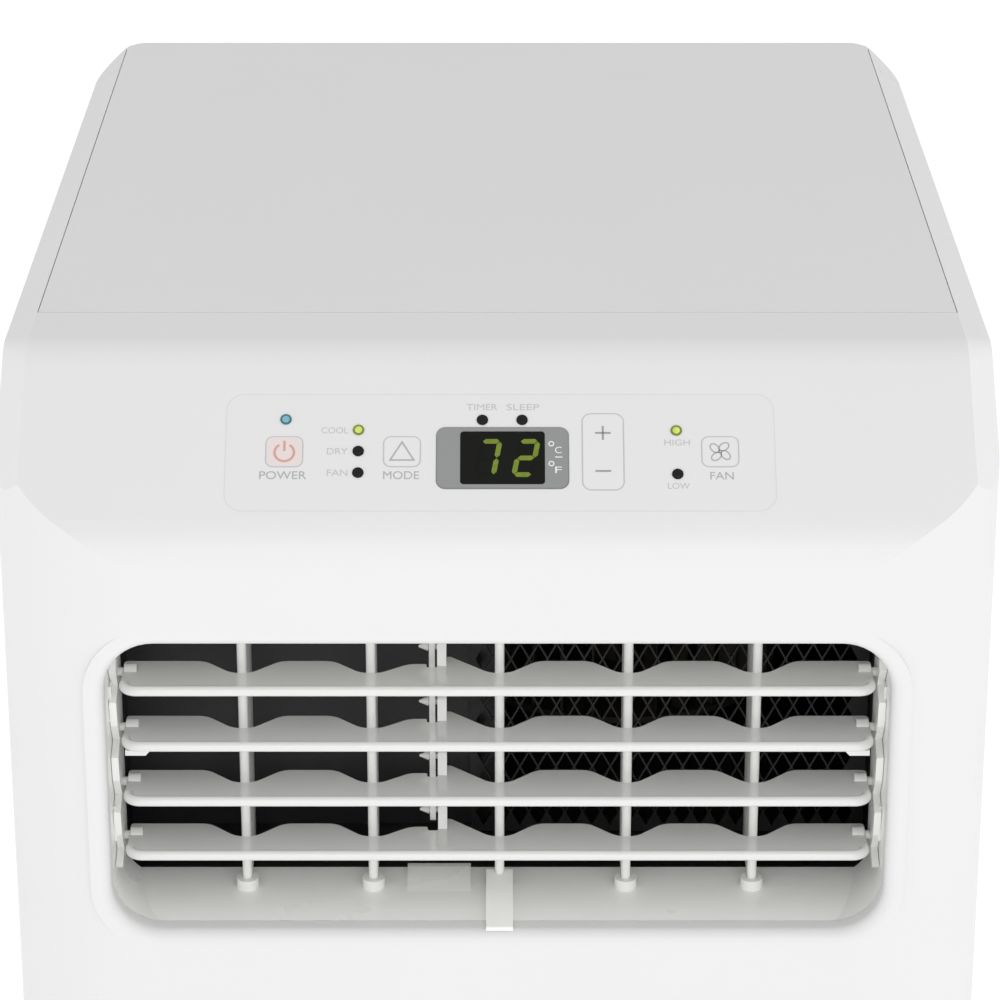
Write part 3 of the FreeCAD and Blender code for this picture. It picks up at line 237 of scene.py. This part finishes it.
WORN_BY = {
    "shell": ["top_cover", "front_shell", "rear_panel", "base_pan", "upper_grille", "exhaust_collar",
              "handle_left", "handle_right"],
    "louver": ["louver_link"] + [f"louver_blade_{i}" for i in range(1, 5)],
    "vane": ["outlet_frame", "louver_brackets", "vane_link"] + [f"vane_{i}" for i in range(1, 6)],
    "overlay": ["overlay_plate", "power_key", "mode_key", "fan_key", "temp_rocker"],
    "duct": ["outlet_duct", "blower_scroll"],
    "mesh": ["outlet_mesh"],
    "fan": ["blower_wheel", "exhaust_wheel"],
    "bezel": ["display_bezel"],
    "window": ["display_window"],
    "switch": ["display_module", "tact_switches", "cord_inlet"],
    "lens_dark": ["indicator_leds"],
    "foam": ["drain_tray", "exhaust_scroll"],
    "board": ["control_pcb"],
    "rubber": ["compressor_grommets"],
    "rubber_grey": ["drain_plug_upper", "drain_plug_lower"],
    "filter": ["filter_cassette"],
    "fins": ["evaporator_coil", "condenser_coil"],
    "copper": ["refrigerant_lines"],
    "zinc": ["electrical_box", "cabinet_screws"],
    "paint": ["compressor"],
    "enamel": ["blower_motor", "exhaust_motor"],
    "caster": [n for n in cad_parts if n.startswith("caster_fork")],
    "wheel": [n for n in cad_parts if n.startswith("caster_wheel")],
}


def dress():
    """Give every CAD piece its material."""
    for key, names in WORN_BY.items():
        for name in names:
            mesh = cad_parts[name].data
            mesh.materials.clear()
            mesh.materials.append(M[key])


# ---------------------------------------------------------------- building pieces

def piece(name, mesh_maker, material, body):
    """A new mesh object from a bmesh maker, riding on a body."""
    work = bmesh.new()
    mesh_maker(work)
    bmesh.ops.recalc_face_normals(work, faces=work.faces)
    mesh = bpy.data.meshes.new(name)
    work.to_mesh(mesh)
    work.free()
    made = bpy.data.objects.new(name, mesh)
    bpy.context.scene.collection.objects.link(made)
    mesh.materials.append(M[material])
    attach(made, body)
    return made


def on_face(x, down, out=0.0):
    """A point of the control face: x across, down the slope, out of it, in millimetres."""
    return FACE @ Vector((x * MM, -down * MM, out * MM))


def slab(work, points, low, high):
    """A closed flat piece on the control face between two levels, from an outline of (x, down)."""
    bottom = [work.verts.new(on_face(x, down, low)) for x, down in points]
    top = [work.verts.new(on_face(x, down, high)) for x, down in points]
    work.faces.new(bottom)
    work.faces.new(top)
    for i in range(len(points)):
        j = (i + 1) % len(points)
        work.faces.new((bottom[i], bottom[j], top[j], top[i]))


def ribbon(work, points, width, low, high, closed=True):
    """A flat line of even width along points, each (x, down), joined end to start if closed."""
    count = len(points)
    flat = [Vector(p) for p in points]
    left, right = [], []
    for i, here in enumerate(flat):
        before = flat[i - 1] if closed or i else here - (flat[1] - here)
        after = flat[(i + 1) % count] if closed or i < count - 1 else here + (here - flat[i - 1])
        into = (here - before).normalized()
        away = (after - here).normalized()
        normal = Vector((-(into.y + away.y), into.x + away.x)).normalized()
        stretch = width / 2 / max(0.5, normal.dot(Vector((-into.y, into.x))))
        left.append(here + normal * stretch)
        right.append(here - normal * stretch)
    rings = []
    for a, b in zip(left, right):
        corners = ((a, low), (b, low), (b, high), (a, high))
        rings.append([work.verts.new(on_face(p.x, p.y, level)) for p, level in corners])
    spans = count if closed else count - 1
    for i in range(spans):
        one, two = rings[i], rings[(i + 1) % count]
        for k in range(4):
            m = (k + 1) % 4
            work.faces.new((one[k], one[m], two[m], two[k]))
    if not closed:
        work.faces.new(rings[0])
        work.faces.new(rings[-1][::-1])


def rounded_box(x, down, wide, long, radius, steps=8):
    """Points round a box with round corners, centred at (x, down)."""
    points = []
    for sx, sy, start in ((1, 1, 0), (-1, 1, 90), (-1, -1, 180), (1, -1, 270)):
        for step in range(steps + 1):
            angle = math.radians(start + 90 * step / steps)
            points.append((x + sx * (wide / 2 - radius) + radius * math.cos(angle),
                           down + sy * (long / 2 - radius) + radius * math.sin(angle)))
    return points


def arc(x, down, radius, start, end, steps=28):
    """Points of an arc between two angles in degrees."""
    points = []
    for i in range(steps + 1):
        angle = math.radians(start + (end - start) * i / steps)
        points.append((x + radius * math.cos(angle), down + radius * math.sin(angle)))
    return points


def letters(work, text, x, down, wide, tall, level=0.0):
    """A word on the control face, centred at (x, down), fitted to a width and a capital height."""
    curve = bpy.data.curves.new("word", "FONT")
    curve.body = text
    curve.extrude = 0.02
    holder = bpy.data.objects.new("word", curve)
    bpy.context.scene.collection.objects.link(holder)
    bpy.context.view_layer.update()
    shaped = holder.evaluated_get(bpy.context.evaluated_depsgraph_get())
    mesh = bpy.data.meshes.new_from_object(shaped)
    bpy.data.objects.remove(holder)
    bpy.data.curves.remove(curve)
    xs = [v.co.x for v in mesh.vertices]
    ys = [v.co.y for v in mesh.vertices]
    scale_x = wide / (max(xs) - min(xs))
    scale_y = tall / (max(ys) - min(ys))
    middle = Vector(((max(xs) + min(xs)) / 2, (max(ys) + min(ys)) / 2))
    for v in mesh.vertices:
        flat = Vector(((v.co.x - middle.x) * scale_x, (v.co.y - middle.y) * scale_y))
        out = level + (INK if v.co.z > 0 else 0.0)
        v.co = on_face(x + flat.x, down - flat.y, out)
    work.from_mesh(mesh)
    bpy.data.meshes.remove(mesh)


def gap_shade_line(name, size, x):
    """A grey line on the film round a key: painted shade of the gap round the key."""
    def line(work):
        wide, long, radius = size
        reach = GAP_SHADE_WIDTH + 2 * GAP_SHADE_OFFSET
        points = rounded_box(x, KEY_ROW, wide + reach, long + reach, radius + reach / 2)
        ribbon(work, points, GAP_SHADE_WIDTH, 0.0, INK)
    piece(name, line, "pale_ink_and_gap_shade", "cabinet")


def on_key(name, x, marks, material="print"):
    """Marks printed on a key's top, which stands a little out of the film."""
    def drawn(work):
        for points, width, closed in marks:
            placed = [(x + across, KEY_ROW + down) for across, down in points]
            ribbon(work, placed, width, KEY_TOP, KEY_TOP + INK, closed)
    piece("print_" + name, drawn, material, name)


def petal(quarter):
    """One of four leaning blades of the fan sign."""
    turn = math.radians(90 * quarter + 20)
    points = []
    for step in range(24):
        t = 2 * math.pi * step / 24
        along = 2.1 + 1.7 * math.cos(t)
        across = 1.35 * math.sin(t) + 0.28 * along
        points.append((along * math.cos(turn) - across * math.sin(turn),
                       along * math.sin(turn) + across * math.cos(turn)))
    return points


def key_prints():
    """The painted gap shade round the keys on the film, and the signs on the keys."""
    for name, x in KEYS.items():
        gap_shade_line("outline_" + name, KEY_SIZE, x)
    gap_shade_line("outline_rocker", ROCKER_SIZE, ROCKER)

    def bezel_edge(work):
        ribbon(work, rounded_box(*WINDOW, *BEZEL_SIZE), 0.34, 0.0, INK)
    piece("bezel_edge", bezel_edge, "bezel", "cabinet")

    def film_edge(work):
        ribbon(work, rounded_box(*FILM_MIDDLE, *FILM_SIZE), 0.3, 0.0, 0.03)
    piece("film_edge", film_edge, "film_edge", "cabinet")
    triangle = [(-3.9, 3.1), (0, -3.5), (3.9, 3.1)]
    on_key("mode_key", KEYS["mode_key"], [(triangle, 0.55, True)])
    fan = [(petal(quarter), 0.45, True) for quarter in range(4)]
    fan.append((arc(0, 0, 0.5, 0, RING_END, RING_STEPS), 0.4, True))
    on_key("fan_key", KEYS["fan_key"], fan)

    def tinted(work):
        slab(work, rounded_box(KEYS["power_key"], KEY_ROW, *TINT_SIZE), KEY_TOP, 0.12)
    piece("print_power_tint", tinted, "print_pink", "power_key")
    ring = arc(0, 0.3, 3.2, -58, 238)
    stem = [(0, -4.0), (0, -0.2)]
    on_key("power_key", KEYS["power_key"], [(ring, 0.8, False), (stem, 0.8, False)], "print_red")
    minus = [(-2.55, 7.1), (2.55, 7.1)]
    plus_across = [(-2.55, -6.9), (2.55, -6.9)]
    plus_down = [(0, -9.45), (0, -4.35)]
    marks = [(line, 0.65, False) for line in (minus, plus_across, plus_down)]
    on_key("temp_rocker", ROCKER, marks, "print_dark")


def legends():
    """The printed words: each with its middle, across and down, and its width and height."""
    words = [
        ("POWER", -70.4, 48.4, 15.4, 2.9), ("MODE", -31.6, 48.4, 11.8, 2.9), ("FAN", 73.6, 48.6, 7.7, 2.7),
    ]
    small_words = [
        ("COOL", -53.6, 31.9, 8.8, 2.3), ("DRY", -52.7, 39.6, 6.8, 2.3), ("FAN", -52.6, 47.5, 6.8, 2.3),
        ("TIMER", -5.1, 23.3, 10.2, 2.3), ("SLEEP", 8.4, 23.3, 10.8, 2.3),
        ("HIGH", 59.1, 36.4, 8.4, 2.2), ("LOW", 59.4, 52.3, 7.2, 2.2),
    ]

    for name, group, ink in (("print_legends", words, "print"),
                             ("print_small_legends", small_words, "pale_ink_and_gap_shade")):
        def printed(work):
            for text, x, down, wide, tall in group:
                letters(work, text, x, down, wide, tall)
        piece(name, printed, ink, "cabinet")

    def units(work):
        for down, letter in ((37.0, "C"), (44.3, "F")):
            ring = arc(17.7, down, 0.8, 0, RING_END, RING_STEPS)
            ribbon(work, ring, 0.4, BEZEL_TOP, BEZEL_TOP + INK)
            letters(work, letter, 20.0, down + 2.3, 2.2, 2.4, BEZEL_TOP)
        dash = [(18.9, 41.9), (21.3, 41.9)]
        ribbon(work, dash, 0.4, BEZEL_TOP, BEZEL_TOP + INK, closed=False)
    piece("print_units", units, "print_white", "cabinet")


SEGMENTS = {
    # each segment's ends in a digit cell 1 wide and 2 tall
    "a": ((0, 2), (1, 2)), "b": ((1, 2), (1, 1)), "c": ((1, 1), (1, 0)), "d": ((0, 0), (1, 0)),
    "e": ((0, 1), (0, 0)), "f": ((0, 2), (0, 1)), "g": ((0, 1), (1, 1)),
}
SHOWN = {"7": "abc", "2": "abged"}


def digits():
    """Two leaning seven-segment digits, lit and unlit segments in two meshes."""
    wide, tall = 5.75, 6.1          # of a segment's length, across and upright
    pitch = 12.5                    # between the digits
    half = 0.85                     # of a segment's thickness
    gap = 0.15                      # at each end of a segment
    middle = 3.1                    # between the two digits, across the face
    slant = math.tan(math.radians(10))

    def segment(work, centre, ends):
        start = Vector((ends[0][0] * wide, ends[0][1] * tall))
        end = Vector((ends[1][0] * wide, ends[1][1] * tall))
        along = (end - start).normalized()
        across = Vector((-along.y, along.x)) * half
        start += along * gap
        end -= along * gap
        outline = [
            start, start + along * half + across, end - along * half + across,
            end, end - along * half - across, start + along * half - across,
        ]
        points = []
        for p in outline:
            y = p.y - tall
            points.append((centre + p.x - wide / 2 + y * slant, WINDOW[1] - y))
        slab(work, points, 0.05, 0.1)

    for lit, material in ((True, "digit"), (False, "ghost")):
        def glyphs(work):
            for number, text in enumerate("72"):
                for name, ends in SEGMENTS.items():
                    if (name in SHOWN[text]) == lit:
                        segment(work, middle + pitch * (number - 0.5), ends)
        piece("digits_lit" if lit else "digits_unlit", glyphs, material, "cabinet")


LAMPS = [
    # name, across, down, material
    ("lamp_power", -69.8, 27.9, "lamp_blue"), ("lamp_cool", -45.8, 31.8, "lamp_green"),
    ("lamp_dry", -45.8, 39.6, "lens_dark"), ("lamp_fan", -45.8, 47.5, "lens_dark"),
    ("lamp_timer", -5, 28.1, "lens_dark"), ("lamp_sleep", 8.1, 28.1, "lens_dark"),
    ("lamp_high", 58.9, 32, "lamp_green"), ("lamp_low", 59.1, 48, "lens_dark"),
]


LAMP_SIDES, LAMP_RADIUS = 32, 1.55
# share of the radius, and level out of the face, from the foot to the top of the dome
LAMP_PROFILE = [(1.0, -1.0), (1.0, 0.08), (0.86, 0.26), (0.55, 0.42), (0.2, 0.48)]
# a lit lamp's rim takes its colour: painted glow
PAINTED_GLOW_RIM_OF = {"lamp_green": "rim_painted_green_glow", "lamp_blue": "rim_painted_blue_glow"}


def lamps():
    """Domed light pipes, each with a rim; a lit lamp's rim carries the lamp's colour as painted glow."""
    turns = [2 * math.pi * i / LAMP_SIDES for i in range(LAMP_SIDES)]
    for name, x, down, material in LAMPS:
        def dome(work):
            sides = LAMP_SIDES
            loops = []
            for share, out in LAMP_PROFILE:
                r = LAMP_RADIUS * share
                ring = [on_face(x + r * math.cos(t), down + r * math.sin(t), out) for t in turns]
                loops.append([work.verts.new(p) for p in ring])
            for one, two in zip(loops, loops[1:]):
                for i in range(sides):
                    j = (i + 1) % sides
                    work.faces.new((one[i], one[j], two[j], two[i]))
            work.faces.new(loops[0])
            work.faces.new(loops[-1])
        lens = piece(name, dome, material, "cabinet")
        for polygon in lens.data.polygons:
            polygon.use_smooth = True
        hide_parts("indicator_leds")

        def rim(work):
            # the last of 32 sides is the closing one
            ribbon(work, arc(x, down, 1.5, 0, 348.75, 31), 0.75, -1.0, 0.3)
        collar = piece(name + "_rim", rim, PAINTED_GLOW_RIM_OF.get(material, "lens_dark"), "cabinet")
        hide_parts("indicator_leds")


# ---------------------------------------------------------------- coils

def block(work, low, high):
    """A closed box between two corners, in millimetres."""
    made = bmesh.ops.create_cube(work, size=1)
    for v in made["verts"]:
        v.co = Vector([(a + b) / 2 + c * (b - a) for a, b, c in zip(low, high, v.co)]) * MM


FIN_PITCH, FIN_HALF, END_PLATE_HALF = 2.6, 0.25, 0.9
TUBE_RADIUS = 3.5


def bent_tube(work, path, radius, sides=12):
    """A closed round tube swept along points that lie in one upright plane of constant depth."""
    rings = []
    for i, here in enumerate(path):
        before, after = path[max(i - 1, 0)], path[min(i + 1, len(path) - 1)]
        along = (Vector(after) - Vector(before)).normalized()
        side = Vector((0, 1, 0))
        up = side.cross(along)
        ring = []
        for step in range(sides):
            angle = 2 * math.pi * step / sides
            out = (side * math.cos(angle) + up * math.sin(angle)) * radius
            ring.append(work.verts.new((Vector(here) + out) * MM))
        rings.append(ring)
    for one, two in zip(rings, rings[1:]):
        for i in range(sides):
            j = (i + 1) % sides
            work.faces.new((one[i], one[j], two[j], two[i]))
    work.faces.new(rings[0])
    work.faces.new(rings[-1][::-1])


def coil(node, half, near, far, low, high, rows):
    """Thin fins and hairpin tubes between two end plates, in place of a plain block, in millimetres."""
    def fins(work):
        count = int(2 * half / FIN_PITCH)
        for number in range(count + 1):
            x = -half + 2 * half * number / count
            thick = END_PLATE_HALF if number in (0, count) else FIN_HALF
            block(work, (max(-half, x - thick), near, low), (min(half, x + thick), far, high))
    made = piece(node + "_fins", fins, "fins", "cabinet")
    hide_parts(node)

    def tubes(work):
        gap = (high - low) / rows
        middle = (near + far) / 2
        for pair in range(rows // 2):
            centre = low + gap * (2 * pair + 1)
            path = [(-half + 0.5, middle, centre - gap / 2)]
            for step in range(17):
                angle = math.radians(-90 + 180 * step / 16)
                path.append((half + gap / 2 * math.cos(angle), middle, centre + gap / 2 * math.sin(angle)))
            path.append((-half + 0.5, middle, centre + gap / 2))
            bent_tube(work, path, TUBE_RADIUS)
    made = piece(node + "_tubes", tubes, "copper", "cabinet")
    for polygon in made.data.polygons:
        polygon.use_smooth = len(polygon.vertices) == 4
    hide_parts(node)


# ---------------------------------------------------------------- stage

SKY_LEVEL = 0.61                        # a soft tent of light, a little brighter in front
SKY_SLOPE = (0.06, -0.06, 0.05)
SKY_SIDES = 0.6                         # and brightest towards both sides
FLOOR_GLOW = 0.73
WHITE = (1, 1, 1, 1)
BOX_POWER, BOX_SIZE = 4.2, 0.9
BOX_AIM = Vector((0, FRONT, 0.6))
BOX_PLACE = Vector((0.15, -1.39, 0.56))     # from what it lights


def floor_plane():
    bpy.ops.mesh.primitive_plane_add(size=40, location=(0, 0, 0))
    floor = bpy.context.object
    floor.name = "floor"
    material, tree, shader = nodes_of("pale_floor")
    speckle = noise(tree, 3, 2)
    colour = tint(tree, speckle.outputs["Fac"], (0.39, 0.39, 0.39), (0.41, 0.41, 0.41))
    tree.links.new(colour, shader.inputs["Base Color"])
    shader.inputs["Roughness"].default_value = 0.9
    shader.inputs["Emission Color"].default_value = WHITE
    shader.inputs["Emission Strength"].default_value = FLOOR_GLOW
    floor.data.materials.append(material)


def sky():
    """Brightness that changes evenly across the sky and grows with the square of x."""
    world = bpy.data.worlds.new("studio")
    bpy.context.scene.world = world
    world.use_nodes = True
    tree = world.node_tree
    direction = add(tree, "ShaderNodeTexCoord")
    bright = add(tree, "ShaderNodeVectorMath", operation="DOT_PRODUCT")
    bright.inputs[1].default_value = SKY_SLOPE
    tree.links.new(direction.outputs["Generated"], bright.inputs[0])
    split = add(tree, "ShaderNodeSeparateXYZ")
    tree.links.new(direction.outputs["Generated"], split.inputs[0])
    square = add(tree, "ShaderNodeMath", operation="MULTIPLY")
    tree.links.new(split.outputs["X"], square.inputs[0])
    tree.links.new(split.outputs["X"], square.inputs[1])
    sides = add(tree, "ShaderNodeMath", operation="MULTIPLY_ADD")
    sides.inputs[1].default_value = SKY_SIDES
    sides.inputs[2].default_value = SKY_LEVEL
    tree.links.new(square.outputs["Value"], sides.inputs[0])
    level = add(tree, "ShaderNodeMath", operation="ADD")
    tree.links.new(bright.outputs["Value"], level.inputs[0])
    tree.links.new(sides.outputs["Value"], level.inputs[1])
    tree.links.new(level.outputs["Value"], tree.nodes["Background"].inputs["Strength"])
    tree.nodes["Background"].inputs["Color"].default_value = WHITE


def front_box():
    """A wide soft light in front."""
    box = bpy.data.lights.new("front_box", "AREA")
    box.energy = BOX_POWER
    box.size = BOX_SIZE
    holder = bpy.data.objects.new("front_box", box)
    bpy.context.scene.collection.objects.link(holder)
    holder.location = BOX_AIM + BOX_PLACE
    holder.rotation_euler = (-BOX_PLACE).to_track_quat("-Z", "Y").to_euler()


def stage():
    floor_plane()
    sky()
    front_box()
    view = bpy.context.scene.view_settings
    view.view_transform = "Standard"
    view.look = "None"


CAMERA_AHEAD, CAMERA_ABOVE = 1.190, 0.467       # of the front and of the top
CAMERA_PITCH = 22.78                            # degrees below level
FOCAL_RATIO = 3.990                             # focal length over sensor width
SENSOR = 36


def camera():
    data = bpy.data.cameras.new("camera")
    made = bpy.data.objects.new("camera", data)
    bpy.context.scene.collection.objects.link(made)
    data.sensor_width = SENSOR
    data.lens = FOCAL_RATIO * SENSOR
    data.shift_x = 0.0025
    data.clip_start = 0.05
    made.location = (0, FRONT - CAMERA_AHEAD, TOP + CAMERA_ABOVE)
    made.rotation_euler = (math.radians(90 - CAMERA_PITCH), 0, 0)
    bpy.context.scene.camera = made


stage()
camera()
dress()
key_prints()
legends()
digits()
lamps()
coil("evaporator_coil", half=125, near=98, far=132, low=460, high=668, rows=8)
coil("condenser_coil", half=100, near=121, far=156, low=52, high=278, rows=8)
